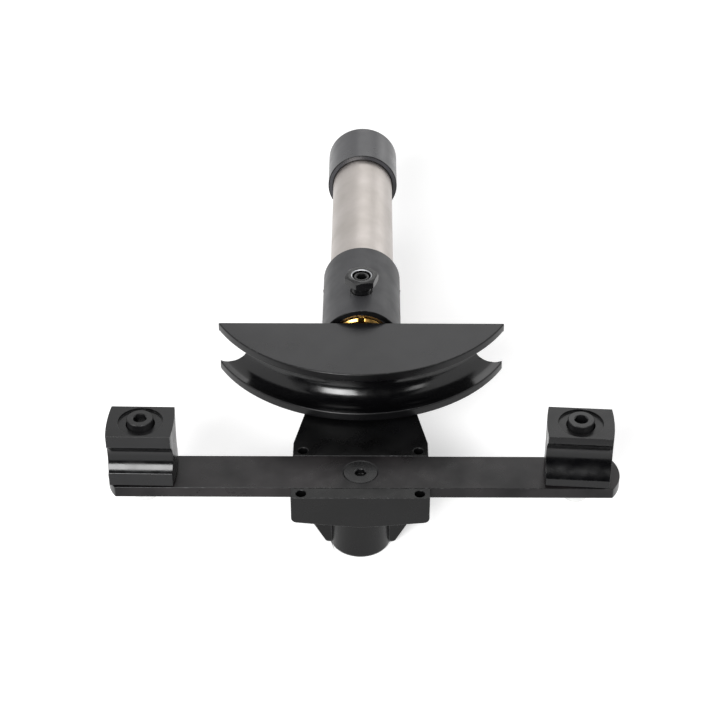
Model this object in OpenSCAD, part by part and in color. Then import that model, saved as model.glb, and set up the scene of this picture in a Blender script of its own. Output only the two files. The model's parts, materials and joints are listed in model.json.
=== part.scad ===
// Hydraulic pipe bender head: a frame with a crossbar, two counter dies that
// turn on pivots, and a spring-returned hydraulic ram that pushes a former.
// Millimetres. X runs along the crossbar, +Y towards the hydraulic cylinder,
// +Z up. The origin is the centre of the stand socket's mouth.

/* [Crossbar] */
// Width of the flat bar
bar_w = 25; // [23:0.5:27]
// Thickness of the flat bar
bar_t = 6; // [5:0.5:7]
// Length of the bar left of its centre screw
bar_left = 124.8; // [124:0.2:140]
// Length of the bar right of its centre screw
bar_right = 128.2; // [124:0.2:140]
// Radius of the bar's rounded ends
bar_end_r = 20; // [16:1:40]
// Distance from the centre screw to each die pivot
pivot_x = 107; // [105:0.5:110]

/* [Head block] */
// Width of the head block
head_w = 68; // [66:1:80]
// Thickness of the lip in front of the bar
lip_t = 7.5; // [7:0.5:10]
// Height of the head block at its sides
head_edge_t = 15.7; // [12:0.1:18]
// Height of the head block along its middle
head_mid_t = 19.1; // [17:0.1:22]
// Radius of the head block's lower corners
head_corner_r = 2.5; // [1:0.5:4]
// Length of the straight sides behind the bar
head_back = 10.5; // [9:0.5:14]
// Clearance of the bar in its slot, each side
slot_gap = 0.2; // [0.05:0.05:0.3]
// Distance between the threaded holes along the bar
bolt_pitch_x = 58; // [56:1:60]
// Distance between the threaded holes across the bar
bolt_pitch_y = 33.5; // [32.5:0.5:35]
// Diameter of the threaded holes
bolt_hole_d = 5; // [3.3:0.1:5.5]
// Depth of the threaded holes
bolt_hole_depth = 12; // [6:1:12]

/* [Stand post] */
// Height of the deck above the foot of the post
deck_h = 43.5; // [42:0.5:60]
// Diameter of the post
post_d = 30.6; // [29:0.2:34]
// Radius of the post's lower edge
post_round = 2; // [0.5:0.5:3]
// Diameter of the stand socket
socket_d = 20; // [16:1:24]
// Depth of the stand socket
socket_depth = 18; // [12:1:20]
// Thickness of the two ribs beside the post
rib_t = 10; // [6:1:14]
// Half width of the ribs where they meet the head block
rib_top_x = 31; // [26:0.5:32]
// Half width of the ribs at their lower end
rib_low_x = 16.6; // [16:0.2:18]
// Height of the ribs' lower end above the foot of the post
rib_low_z = 1; // [0.5:0.5:10]

/* [Sleeve] */
// Height of the ram axis above the deck
ram_rise = 16.4; // [15.5:0.1:18]
// Outer diameter of the sleeve that holds the cylinder
sleeve_d = 42; // [40:0.5:46]
// Length of the sleeve
sleeve_len = 61.7; // [50:0.1:70]
// Gap between the drawn-back former and the front of the sleeve
sleeve_gap = 2; // [1:0.1:25]
// Chamfer round the sleeve's front mouth
mouth_chamfer = 0.5; // [0.3:0.1:2]
// Length of the saddle left clear behind the sloping underside
saddle_back = 8; // [4:1:14]

/* [Counter dies] */
// Width of a die along the bar, at its middle
die_w = 32.7; // [30:0.1:34]
// Depth of a die across the bar
die_d = 24.4; // [24:0.1:26]
// Height of a die
die_h = 30.1; // [29:0.1:34]
// Radius of a die's bulging sides
die_side_r = 93; // [60:1:200]
// Radius of the narrow groove
narrow_r = 10; // [9:0.5:12]
// Depth of the narrow groove
narrow_depth = 4; // [3:0.1:4.8]
// Radius of the wide groove
wide_r = 14; // [13:0.1:15]
// Depth of the wide groove
wide_depth = 5.4; // [4:0.1:5.5]
// Height of the grooves' centre above the deck
groove_rise = 16.2; // [15.8:0.1:17]
// Diameter of the shallow recess in a die's top
recess_d = 22; // [20:0.5:24]
// Depth of the shallow recess
recess_depth = 1.2; // [0.5:0.1:2]
// Turn of the left die on its pivot, narrow groove to the front at 0
left_turn = -1; // [-10:0.5:10]
// Turn of the right die on its pivot, wide groove to the front at 180
right_turn = 176.2; // [170:0.2:190]

/* [Die pivots] */
// Thread diameter of the pivot screws
pivot_thread_d = 8; // [8:8]
// Head diameter of the pivot screws
pivot_head_d = 13; // [13:0.1:13.5]
// Head height of the pivot screws
pivot_head_h = 8; // [7:0.5:9]
// Width across the flats of the pivot screws' hex socket
pivot_hex = 6; // [5:0.5:6]
// Height of the screw heads above the dies
pivot_head_proud = 2.3; // [1:0.1:4]
// Outer diameter of the pivot bushes
bush_d = 12; // [11.5:0.1:12.2]
// Outer diameter of the thrust washers
washer_d = 20; // [16:0.5:24]
// Thickness of the thrust washers
washer_t = 0.6; // [0.4:0.1:1.5]
// Gap between a die and what holds it end to end
end_play = 0.3; // [0.2:0.05:0.4]
// Running clearance on a radius
running_fit = 0.05; // [0.02:0.01:0.08]
// Width across the flats of the pivot lock nuts
nut_flats = 13; // [12:0.5:14]
// Height of the hex part of the pivot lock nuts
nut_hex_h = 5.5; // [5:0.5:7]
// Height of the round collar of the pivot lock nuts
nut_collar_h = 2.5; // [1.5:0.5:3]
// Length of thread that shows below the pivot lock nuts
thread_proud = 1; // [0.5:0.5:4]

/* [Centre screw] */
// Head diameter of the countersunk screw
csk_d = 17; // [16:0.2:17.6]
// Length of the countersunk screw
csk_len = 20; // [15:1:22]
// Width across the flats of its hex socket
csk_hex = 5; // [4:0.5:6]

/* [Former] */
// Outer radius of the former
former_r = 84; // [80:0.5:86]
// Distance from the pivot line to the front of the former
former_front = 39; // [37:0.5:42]
// Length of the former from its front to its flat back
former_len = 46; // [44:0.5:48]
// Thickness of the former
former_t = 29.4; // [28:0.2:30]
// Radius of the former's pipe groove
groove_r = 10; // [8:0.5:11]
// Depth of the groove's straight walls, before it turns round
groove_wall = 3; // [1:0.5:4]
// Radius of the chamfered mouth of the bore in its back
cone_mouth_r = 11; // [10:0.5:13]
// Depth of the straight bore beyond the chamfer
former_bore_depth = 27; // [20:1:28]
// Clearance of the ram nose in the former, on the radius
nose_gap = 0.08; // [0.05:0.01:0.1]

/* [Hydraulic cylinder] */
// Outer diameter of the barrel
barrel_d = 35; // [33:0.5:36]
// Bore of the barrel
bore_d = 27; // [26:0.5:28]
// Distance from the front of the sleeve back to the barrel's front end
barrel_inset = 4; // [4:0.2:6]
// Diameter of the ram rod
rod_d = 18; // [17:0.5:19]
// Stroke of the ram
stroke = 95; // [80:1:98]
// Length of the piston
piston_len = 16; // [15:0.5:20]
// Diameter of the rod's threaded rear spigot
spigot_d = 12; // [10:0.5:12]
// Thickness of the piston nut
piston_nut_h = 7; // [5:0.5:8]
// Width across the flats of the piston nut
piston_nut_flats = 18; // [17:0.5:19]
// Distance from the piston nut to the barrel's rear end
rear_gap = 5; // [3:0.5:10]
// Depth of the guide ring's groove in the piston
guide_depth = 2; // [1:0.1:2.5]
// Depth of the seal's groove in the piston
seal_depth = 3.2; // [2:0.1:3.5]
// Chamfer on the ram's nose
nose_chamfer = 1; // [0.5:0.1:1.5]

/* [End cap] */
// Outer diameter of the end cap
cap_d = 41; // [38:0.5:44]
// Thickness of the cap's rear wall
cap_wall = 13; // [10:0.5:16]
// Length of the cap that covers the barrel
cap_cover = 22.8; // [14:0.2:28]
// Radius of the cap's rear edge
cap_round = 3; // [1:0.5:4]
// Diameter of the threaded oil port
port_d = 11.8; // [8:0.1:14]

/* [Gland] */
// Diameter of the gland's flange in the sleeve's mouth
gland_nose_d = 31.4; // [30:0.2:34.8]
// Thickness of the flange in front of the barrel
gland_nose_h = 4; // [3:0.5:5]
// Width of the conical edge of the flange, on the radius
gland_cone_w = 1.6; // [1:0.2:2.4]
// Height of that conical edge
gland_cone_h = 1; // [0.5:0.1:2.5]
// Length of the gland inside the barrel
gland_len = 30; // [28:0.5:32]
// Width of the two spanner slots
gland_slot_w = 3; // [1.5:0.5:4]
// Outer diameter of the wiper
wiper_d = 22.2; // [21:0.1:22.6]
// Length of the wiper
wiper_h = 4; // [3:0.5:5]
// Outer diameter of the rod seal
rod_seal_d = 24; // [22:0.2:24.4]
// Length of the rod seal
rod_seal_h = 5; // [3:0.5:6]
// Cross-section of the O-rings
ring_section = 2; // [1.6:0.1:2.2]

/* [Return spring] */
// Wire diameter of the return spring
wire_d = 2.5; // [2:0.1:2.6]
// Number of turns of the return spring
spring_turns = 10.5; // [8:0.5:11]
// Length that the return spring has to spare at full stroke
spring_spare = 1.25; // [1:0.25:5]

/* [Lock screw] */
// Thread diameter of the lock screw
lock_d = 10; // [8:1:10]
// Distance from the sleeve's front to the lock screw
lock_inset = 20; // [14:0.1:24]
// Height of the lock screw's end above the sleeve
lock_proud = 8.3; // [7:0.1:10]
// Width across the flats of the lock screw's hex socket
lock_hex = 5; // [4:0.5:5]
// Width across the flats of the lock nut
lock_nut_flats = 16; // [15:0.5:17]
// Thickness of the lock nut
lock_nut_h = 4.5; // [4:0.5:6]
// Height of the lock nut above the sleeve
lock_nut_lift = 4.6; // [0.5:0.1:5]
// Turn of the lock nut on its screw
lock_nut_turn = 12.4; // [-30:0.2:30]
// Diameter of the countersink round the lock screw's hole
lock_sink_d = 12.6; // [11:0.2:14]

/* [Hidden] */
$fn = 96;
// Extra depth of a cut so that no skin is left
cut = 1;
// Half the width of a threaded joint's clearance
thread_gap = 0.05;
// Clearance round the pivot screws' heads in the dies, on the radius
head_gap = 0.5;
// Distance of the nose ring from the ram's nose
nose_ring_inset = 5;
// Width of an O-ring's groove
ring_groove_w = ring_section + 0.4;
// Share of its section that an O-ring keeps when it is squeezed in its groove
ring_squeeze = 0.9;
// Length of the piston's spigot beyond its nut
spigot_proud = 2;
// Diameter of the round collar of the pivot lock nuts
nut_collar_d = nut_flats - 1;

slot_floor = deck_h - bar_t;
head_front = bar_w / 2 + slot_gap + lip_t;
taper_y = bar_w / 2 + slot_gap + head_back;
axis_z = deck_h + ram_rise;
former_back = former_front + former_len;
sleeve_y = former_back + sleeve_gap;
sleeve_end = sleeve_y + sleeve_len;
barrel_y = sleeve_y + barrel_inset;
closed_spring = (spring_turns + 1) * wire_d;
barrel_len = gland_len + stroke + closed_spring + spring_spare + piston_len + piston_nut_h
    + rear_gap;
barrel_end = barrel_y + barrel_len;
gland_end = barrel_y + gland_len;
piston_y = barrel_end - rear_gap - piston_nut_h - piston_len;
former_cy = former_front + former_r;
former_bore_r = rod_d / 2 + nose_gap;
mouth_depth = cone_mouth_r - former_bore_r;
former_floor = former_back - mouth_depth - former_bore_depth;
nose_y = former_floor + end_play;
nose_ring_y = nose_y + nose_ring_inset;
die_z = deck_h + washer_t + end_play;
head_seat_z = die_z + die_h + pivot_head_proud - pivot_head_h;
lock_y = sleeve_y + lock_inset;
sleeve_top = axis_z + sleeve_d / 2;
lock_sink = (lock_sink_d - lock_d) / 2;

// Puts a child that points up +Z on the ram axis, pointing towards +Y from y
module along_ram(y) {
    translate([0, y, axis_z])
        rotate([-90, 0, 0])
            children();
}

// A hexagonal prism given by its width across the flats
module hex_prism(flats, h) {
    cylinder(d = flats / cos(30), h = h, $fn = 6);
}

// A ring with a square section
module ring(outer_r, inner_r, h) {
    difference() {
        cylinder(r = outer_r, h = h);
        translate([0, 0, -cut])
            cylinder(r = inner_r, h = h + 2 * cut);
    }
}

// An O-ring that lies in a groove with the given floor radius
module o_ring(floor_r, section) {
    rotate_extrude()
        translate([floor_r + section / 2, 0])
            circle(d = section, $fn = 32);
}

// A round bar with one rounded end, at z = 0
module round_ended(r, h, edge_r) {
    rotate_extrude()
        union() {
            square([r - edge_r, h]);
            translate([0, edge_r])
                square([r, h - edge_r]);
            translate([r - edge_r, edge_r])
                circle(r = edge_r);
        }
}

// Outline of the head block seen from the front, with its top edge at z = 0
module head_section() {
    slope = atan2(head_mid_t - head_edge_t, head_w / 2);
    corner = [head_w / 2 - head_corner_r,
        -head_edge_t + head_corner_r * (1 - sin(slope)) / cos(slope)];
    foot = corner + head_corner_r * [sin(slope), -cos(slope)];
    polygon([
        [-head_w / 2, 0], [head_w / 2, 0], [head_w / 2, corner[1]], foot,
        [0, -head_mid_t], [-foot[0], foot[1]], [-head_w / 2, corner[1]]
    ]);
    for (side = [-1, 1])
        translate([side * corner[0], corner[1]])
            circle(r = head_corner_r);
}

// Outline of the head block and the bed seen from above
module bed_plan() {
    polygon([
        [-head_w / 2, -head_front], [head_w / 2, -head_front], [head_w / 2, taper_y],
        [sleeve_d / 2, sleeve_y], [sleeve_d / 2, sleeve_end - saddle_back],
        [-sleeve_d / 2, sleeve_end - saddle_back], [-sleeve_d / 2, sleeve_y],
        [-head_w / 2, taper_y]
    ]);
}

// Outline of the bed and the saddle seen from the side, as [y, z]
module bed_side() {
    slope_y = sleeve_y + sleeve_len / 3;
    polygon([
        [-head_front, deck_h], [sleeve_y + mouth_chamfer, deck_h],
        [sleeve_y + mouth_chamfer, axis_z], [sleeve_end - saddle_back, axis_z],
        [sleeve_end - saddle_back, axis_z - sleeve_d / 2],
        [slope_y, deck_h - head_mid_t], [-head_front, deck_h - head_mid_t]
    ]);
}

module bed() {
    intersection() {
        linear_extrude(height = axis_z)
            bed_plan();
        rotate([90, 0, 90])
            linear_extrude(height = head_w + 2 * cut, center = true)
                bed_side();
        union() {
            translate([0, sleeve_end, deck_h])
                rotate([90, 0, 0])
                    linear_extrude(height = sleeve_end + head_front)
                        head_section();
            translate([-head_w / 2, 0, deck_h - cut])
                cube([head_w, sleeve_end, ram_rise + cut]);
        }
    }
}

module post_ribs() {
    rotate([90, 0, 0])
        linear_extrude(height = rib_t, center = true)
            polygon([
                [-rib_top_x, deck_h - head_edge_t], [rib_top_x, deck_h - head_edge_t],
                [rib_low_x, rib_low_z], [-rib_low_x, rib_low_z]
            ]);
}

module frame() {
    color("#2b2b2d")
    difference() {
        union() {
            bed();
            post_ribs();
            round_ended(post_d / 2, deck_h - head_edge_t, post_round);
            along_ram(sleeve_y)
                cylinder(d = sleeve_d, h = sleeve_len);
        }
        translate([-head_w, -bar_w / 2 - slot_gap, slot_floor])
            cube([2 * head_w, bar_w + 2 * slot_gap, bar_t + cut]);
        translate([0, 0, deck_h - csk_len - cut])
            cylinder(d = pivot_thread_d, h = csk_len + cut);
        for (sx = [-1, 1], sy = [-1, 1])
            translate([sx * bolt_pitch_x / 2, sy * bolt_pitch_y / 2, deck_h - bolt_hole_depth])
                cylinder(d = bolt_hole_d, h = bolt_hole_depth + cut);
        translate([0, 0, -cut])
            cylinder(d = socket_d, h = socket_depth + cut);
        along_ram(sleeve_y - cut)
            cylinder(r = barrel_d / 2 + running_fit, h = sleeve_len + 2 * cut);
        along_ram(sleeve_y - cut)
            cylinder(r1 = barrel_d / 2 + running_fit + mouth_chamfer + cut,
                r2 = barrel_d / 2 + running_fit, h = mouth_chamfer + cut);
        translate([0, lock_y, axis_z])
            cylinder(d = lock_d, h = sleeve_d);
        translate([0, lock_y, sleeve_top - lock_sink])
            cylinder(d1 = lock_d, d2 = lock_sink_d + 2 * cut, h = lock_sink + cut);
    }
}

module crossbar() {
    color("#333335")
    difference() {
        intersection() {
            translate([-bar_left, -bar_w / 2, slot_floor])
                cube([bar_left + bar_right, bar_w, bar_t]);
            union() {
                translate([bar_right - bar_end_r, 0, slot_floor])
                    cylinder(r = bar_end_r, h = bar_t);
                translate([bar_end_r - bar_left, 0, slot_floor])
                    cylinder(r = bar_end_r, h = bar_t);
                translate([bar_end_r - bar_left, -bar_w, slot_floor])
                    cube([bar_left + bar_right - 2 * bar_end_r, 2 * bar_w, bar_t]);
            }
        }
        translate([0, 0, slot_floor - cut])
            cylinder(r = pivot_thread_d / 2 + slot_gap, h = bar_t + 2 * cut);
        translate([0, 0, deck_h - csk_d / 2 + pivot_thread_d / 2])
            cylinder(r1 = pivot_thread_d / 2 + slot_gap, r2 = csk_d / 2 + slot_gap + cut,
                h = csk_d / 2 - pivot_thread_d / 2 + cut);
        for (side = [-1, 1])
            translate([side * pivot_x, 0, slot_floor - cut])
                cylinder(r = pivot_thread_d / 2 + slot_gap, h = bar_t + 2 * cut);
    }
}

module crossbar_screw() {
    head_h = (csk_d - pivot_thread_d) / 2 + thread_gap;
    top_z = deck_h - slot_gap;
    color("#3a3a3c")
    difference() {
        union() {
            translate([0, 0, top_z - head_h])
                cylinder(r1 = pivot_thread_d / 2 - thread_gap, r2 = csk_d / 2, h = head_h);
            translate([0, 0, top_z - csk_len + slot_gap])
                cylinder(r = pivot_thread_d / 2 - thread_gap, h = csk_len - head_h);
        }
        translate([0, 0, top_z - csk_hex / 2])
            hex_prism(csk_hex, csk_hex);
    }
}

// A counter die at the origin, narrow groove towards -Y, on its lower face
module die() {
    side_shift = die_side_r - die_w / 2;
    groove_z = groove_rise - washer_t - end_play;
    head_depth = die_h + pivot_head_proud - pivot_head_h - end_play;
    difference() {
        intersection() {
            translate([-die_w / 2, -die_d / 2, 0])
                cube([die_w, die_d, die_h]);
            translate([-side_shift, 0, 0])
                cylinder(r = die_side_r, h = die_h, $fn = 360);
            translate([side_shift, 0, 0])
                cylinder(r = die_side_r, h = die_h, $fn = 360);
        }
        translate([-die_w, -die_d / 2 - narrow_r + narrow_depth, groove_z])
            rotate([0, 90, 0])
                cylinder(r = narrow_r, h = 2 * die_w);
        translate([-die_w, die_d / 2 + wide_r - wide_depth, groove_z])
            rotate([0, 90, 0])
                cylinder(r = wide_r, h = 2 * die_w);
        translate([0, 0, -cut])
            cylinder(r = bush_d / 2 + running_fit, h = die_h + 2 * cut);
        translate([0, 0, head_depth])
            cylinder(r = pivot_head_d / 2 + head_gap, h = die_h);
        translate([0, 0, die_h - recess_depth])
            cylinder(d = recess_d, h = recess_depth + cut);
    }
}

module left_die() {
    color("#343436")
    translate([-pivot_x, 0, die_z])
        rotate([0, 0, left_turn])
            die();
}

module right_die() {
    color("#343436")
    translate([pivot_x, 0, die_z])
        rotate([0, 0, right_turn])
            die();
}

module pivot_screws() {
    end_z = slot_floor - nut_hex_h - nut_collar_h - thread_proud;
    color("#1c1c1e")
    for (side = [-1, 1])
        translate([side * pivot_x, 0, 0])
            difference() {
                union() {
                    translate([0, 0, head_seat_z])
                        cylinder(d = pivot_head_d, h = pivot_head_h);
                    translate([0, 0, end_z])
                        cylinder(r = pivot_thread_d / 2 - thread_gap, h = head_seat_z - end_z + cut);
                }
                translate([0, 0, head_seat_z + pivot_head_h / 2])
                    hex_prism(pivot_hex, pivot_head_h);
            }
}

module pivot_bushes() {
    color("#a8823c")
    for (side = [-1, 1])
        translate([side * pivot_x, 0, deck_h])
            ring(bush_d / 2, pivot_thread_d / 2, head_seat_z - deck_h);
}

module thrust_washers() {
    color("#8d8d8f")
    for (side = [-1, 1])
        translate([side * pivot_x, 0, deck_h])
            ring(washer_d / 2, bush_d / 2 + running_fit, washer_t);
}

module pivot_nuts() {
    color("#c9c9cb")
    for (side = [-1, 1])
        translate([side * pivot_x, 0, slot_floor - nut_hex_h - nut_collar_h])
            difference() {
                union() {
                    translate([0, 0, nut_collar_h])
                        hex_prism(nut_flats, nut_hex_h);
                    cylinder(d = nut_collar_d, h = nut_collar_h + cut);
                }
                translate([0, 0, -cut])
                    cylinder(d = pivot_thread_d, h = nut_hex_h + nut_collar_h + 2 * cut);
            }
}

module former() {
    color("#2a2a2c")
    difference() {
        translate([0, former_cy, axis_z - former_t / 2])
            cylinder(r = former_r, h = former_t, $fn = 360);
        translate([0, former_cy, axis_z])
            rotate_extrude($fn = 360)
                translate([former_r - groove_wall, 0]) {
                    circle(r = groove_r);
                    translate([0, -groove_r])
                        square([groove_wall + cut, 2 * groove_r]);
                }
        translate([-2 * former_r, former_back, 0])
            cube([4 * former_r, 2 * former_r, 2 * axis_z]);
        along_ram(former_back - mouth_depth)
            cylinder(r1 = former_bore_r, r2 = cone_mouth_r + cut, h = mouth_depth + cut);
        along_ram(former_floor)
            cylinder(r = former_bore_r, h = mouth_depth + former_bore_depth);
    }
}

module ram_rod() {
    floor_r = former_bore_r - running_fit - ring_section;
    front_len = nose_ring_y - ring_groove_w / 2 - nose_y - nose_chamfer;
    color("#b9babd")
    union() {
        along_ram(nose_y)
            cylinder(r1 = rod_d / 2 - nose_chamfer, r2 = rod_d / 2, h = nose_chamfer);
        along_ram(nose_y + nose_chamfer)
            cylinder(d = rod_d, h = front_len);
        along_ram(nose_ring_y - ring_groove_w / 2)
            cylinder(r = floor_r, h = ring_groove_w);
        along_ram(nose_ring_y + ring_groove_w / 2)
            cylinder(d = rod_d, h = piston_y - nose_ring_y - ring_groove_w / 2);
        along_ram(piston_y)
            cylinder(d = spigot_d, h = piston_len + piston_nut_h + spigot_proud);
    }
}

module nose_ring() {
    color("#151516")
    along_ram(nose_ring_y)
        o_ring(former_bore_r - running_fit - ring_section, ring_section);
}

// The piston carries a guide ring in front and a seal behind
guide_y = 3;
guide_h = 4;
seal_y = 9.5;
seal_h = 4;
guide_floor_r = bore_d / 2 - guide_depth;
seal_floor_r = bore_d / 2 - seal_depth;

module piston() {
    color("#9c9da0")
    along_ram(piston_y)
        difference() {
            cylinder(r = bore_d / 2 - 2 * running_fit, h = piston_len);
            translate([0, 0, -cut])
                cylinder(r = spigot_d / 2 + thread_gap, h = piston_len + 2 * cut);
            translate([0, 0, guide_y])
                ring(bore_d, guide_floor_r, guide_h);
            translate([0, 0, seal_y])
                ring(bore_d, seal_floor_r, seal_h);
        }
}

module piston_guide_ring() {
    color("#5b3d27")
    along_ram(piston_y + guide_y + thread_gap)
        ring(bore_d / 2 - running_fit, guide_floor_r + thread_gap, guide_h - 2 * thread_gap);
}

module piston_seal() {
    color("#202a44")
    along_ram(piston_y + seal_y + thread_gap)
        ring(bore_d / 2 - running_fit, seal_floor_r + thread_gap, seal_h - 2 * thread_gap);
}

module piston_nut() {
    color("#8d8d8f")
    along_ram(piston_y + piston_len)
        difference() {
            hex_prism(piston_nut_flats, piston_nut_h);
            translate([0, 0, -cut])
                cylinder(r = spigot_d / 2 + thread_gap, h = piston_nut_h + 2 * cut);
        }
}

module barrel() {
    color("#c4bfb9")
    along_ram(barrel_y)
        ring(barrel_d / 2, bore_d / 2, barrel_len);
}

module end_cap() {
    cap_len = cap_cover + cap_wall;
    seal_r = (bore_d + barrel_d) / 4;
    color("#2d2d2f")
    along_ram(barrel_end - cap_cover)
        difference() {
            translate([0, 0, cap_len])
                mirror([0, 0, 1])
                    round_ended(cap_d / 2, cap_len, cap_round);
            translate([0, 0, -cut])
                cylinder(r = barrel_d / 2 + running_fit, h = cap_cover + cut);
            cylinder(d = port_d, h = cap_len + cut);
            translate([0, 0, cap_cover - cut])
                ring(seal_r + ring_section / 2, seal_r - ring_section / 2, cut + ring_section);
        }
}

module end_cap_ring() {
    section = ring_section - 2 * thread_gap;
    color("#151516")
    along_ram(barrel_end + ring_section / 2)
        o_ring((bore_d + barrel_d) / 4 - section / 2, section);
}

// Places of the seals along the gland, from its front face
wiper_y = 0.3;
rod_seal_y = 13;
gland_ring_back = 4;
gland_ring_y = gland_nose_h + gland_len - gland_ring_back;
gland_ring_floor_r = bore_d / 2 - running_fit - ring_section * ring_squeeze;

module gland() {
    front = barrel_y - gland_nose_h;
    slot_depth = gland_nose_h / 2;
    color("#c9a24d")
    along_ram(front)
        difference() {
            union() {
                cylinder(d1 = gland_nose_d - 2 * gland_cone_w, d2 = gland_nose_d,
                    h = gland_cone_h);
                translate([0, 0, gland_cone_h])
                    cylinder(d = gland_nose_d, h = gland_nose_h - gland_cone_h - thread_gap);
                translate([0, 0, gland_nose_h - cut])
                    cylinder(r = bore_d / 2 - running_fit, h = gland_len + cut);
            }
            translate([0, 0, -cut])
                cylinder(r = rod_d / 2 + running_fit, h = gland_nose_h + gland_len + 2 * cut);
            translate([0, 0, -cut])
                cylinder(r = wiper_d / 2 + thread_gap, h = wiper_y + wiper_h + thread_gap + cut);
            translate([0, 0, rod_seal_y])
                cylinder(d = rod_seal_d, h = rod_seal_h);
            translate([0, 0, gland_ring_y - ring_groove_w / 2])
                ring(bore_d, gland_ring_floor_r, ring_groove_w);
            translate([-gland_slot_w / 2, -gland_nose_d, -cut])
                cube([gland_slot_w, 2 * gland_nose_d, slot_depth + cut]);
        }
}

module rod_wiper() {
    color("#151516")
    along_ram(barrel_y - gland_nose_h + wiper_y)
        ring(wiper_d / 2, rod_d / 2 + running_fit, wiper_h);
}

module rod_seal() {
    color("#202a44")
    along_ram(barrel_y - gland_nose_h + rod_seal_y + thread_gap)
        ring(rod_seal_d / 2 - thread_gap, rod_d / 2 + running_fit, rod_seal_h - 2 * thread_gap);
}

module gland_ring() {
    section = bore_d / 2 - gland_ring_floor_r - 2 * thread_gap;
    color("#151516")
    along_ram(barrel_y - gland_nose_h + gland_ring_y)
        o_ring(gland_ring_floor_r + thread_gap, section);
}

// The return spring: one wire wound between the gland and the piston, with a
// closed turn at each end
spring_sides = 6;
spring_steps = 18;
spring_r = (rod_d + bore_d) / 4;
seat_gap = 0.2;
coil_gap = 0.5;
spring_len = piston_y - gland_end - 2 * seat_gap - wire_d;
closed_rise = wire_d + coil_gap;
open_pitch = (spring_len - 2 * closed_rise) / (spring_turns - 2);

// Distance of the wire along the spring after t turns
function wire_at(t) =
    t < 1 ? closed_rise * t
    : t > spring_turns - 1 ? spring_len - closed_rise * (spring_turns - t)
    : closed_rise + open_pitch * (t - 1);

function wire_point(t, a) =
    let (r = spring_r + wire_d / 2 * cos(a))
    [r * cos(360 * t), r * sin(360 * t), wire_at(t) + wire_d / 2 * sin(a)];

module return_spring() {
    rings = floor(spring_turns * spring_steps);
    points = [
        for (i = [0:rings], k = [0:spring_sides - 1])
            wire_point(i / spring_steps, 360 * k / spring_sides)
    ];
    walls = [
        for (i = [0:rings - 1], k = [0:spring_sides - 1])
            let (
                a = i * spring_sides + k,
                b = i * spring_sides + (k + 1) % spring_sides
            )
            each [
                [a, a + spring_sides, b],
                [b, a + spring_sides, b + spring_sides]
            ]
    ];
    first_end = [for (k = [0:spring_sides - 1]) k];
    last_end = [for (k = [spring_sides - 1:-1:0]) rings * spring_sides + k];
    color("#77797c")
    along_ram(gland_end + seat_gap + wire_d / 2)
        polyhedron(points = points, faces = concat(walls, [first_end, last_end]));
}
echo(spring_least_gap = min(closed_rise, open_pitch) - wire_d);

module lock_screw() {
    bottom_z = axis_z + barrel_d / 2 + thread_gap;
    top_z = sleeve_top + lock_proud;
    color("#1c1c1e")
    translate([0, lock_y, bottom_z])
        difference() {
            cylinder(r = lock_d / 2 - thread_gap, h = top_z - bottom_z);
            translate([0, 0, top_z - bottom_z - lock_hex])
                hex_prism(lock_hex, 2 * lock_hex);
        }
}

module lock_nut() {
    color("#232325")
    translate([0, lock_y, sleeve_top + lock_nut_lift])
        rotate([0, 0, lock_nut_turn])
            difference() {
                hex_prism(lock_nut_flats, lock_nut_h);
                translate([0, 0, -cut])
                    cylinder(d = lock_d, h = lock_nut_h + 2 * cut);
            }
}

frame();
crossbar();
crossbar_screw();
left_die();
right_die();
pivot_screws();
pivot_bushes();
thrust_washers();
pivot_nuts();
former();
ram_rod();
nose_ring();
piston();
piston_guide_ring();
piston_seal();
piston_nut();
barrel();
end_cap();
end_cap_ring();
gland();
rod_wiper();
rod_seal();
gland_ring();
return_spring();
lock_screw();
lock_nut();
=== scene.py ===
# %% [markdown]
# # A hydraulic pipe bender head
# A pump pushes oil into the cylinder, the ram pushes the grooved former forward, and the former
# bends a pipe against two dies that turn on pivots at the ends of a flat crossbar. This script
# dresses that machine for a product photograph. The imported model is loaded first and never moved:
# every piece that is modelled below is set where that model has it.

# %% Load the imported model
import contextlib
import json
import math

import bmesh
import bpy
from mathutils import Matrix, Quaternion, Vector

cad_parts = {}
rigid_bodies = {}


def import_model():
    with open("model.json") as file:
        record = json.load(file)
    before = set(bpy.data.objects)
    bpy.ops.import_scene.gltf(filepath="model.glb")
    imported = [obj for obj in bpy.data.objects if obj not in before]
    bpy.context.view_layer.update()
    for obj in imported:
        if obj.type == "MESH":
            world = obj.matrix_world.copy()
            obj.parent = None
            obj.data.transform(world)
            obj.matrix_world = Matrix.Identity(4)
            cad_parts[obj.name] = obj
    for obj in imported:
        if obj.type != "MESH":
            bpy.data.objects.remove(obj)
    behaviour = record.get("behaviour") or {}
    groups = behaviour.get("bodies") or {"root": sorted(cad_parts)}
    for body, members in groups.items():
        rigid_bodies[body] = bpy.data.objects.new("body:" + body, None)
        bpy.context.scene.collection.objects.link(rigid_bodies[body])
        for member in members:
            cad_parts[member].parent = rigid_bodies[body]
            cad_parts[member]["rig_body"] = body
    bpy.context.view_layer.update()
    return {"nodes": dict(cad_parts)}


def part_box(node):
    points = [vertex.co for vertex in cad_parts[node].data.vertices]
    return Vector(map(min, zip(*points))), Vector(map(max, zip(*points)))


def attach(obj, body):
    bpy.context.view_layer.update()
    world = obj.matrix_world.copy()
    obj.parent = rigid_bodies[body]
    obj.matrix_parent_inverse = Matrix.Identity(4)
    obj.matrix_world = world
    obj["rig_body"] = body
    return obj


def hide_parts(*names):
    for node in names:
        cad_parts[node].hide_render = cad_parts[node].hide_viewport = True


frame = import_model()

# %% [markdown]
# ## The camera
# The photograph was taken from the front, about 36 degrees above the crossbar and a little under a
# metre away. The straight edges along the ram meet far above the frame and slightly to the right of
# its middle, so the camera also looks a third of a degree to the left. A lens of 92.5 mm on a 36 mm
# sensor gives the photograph's perspective.


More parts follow.
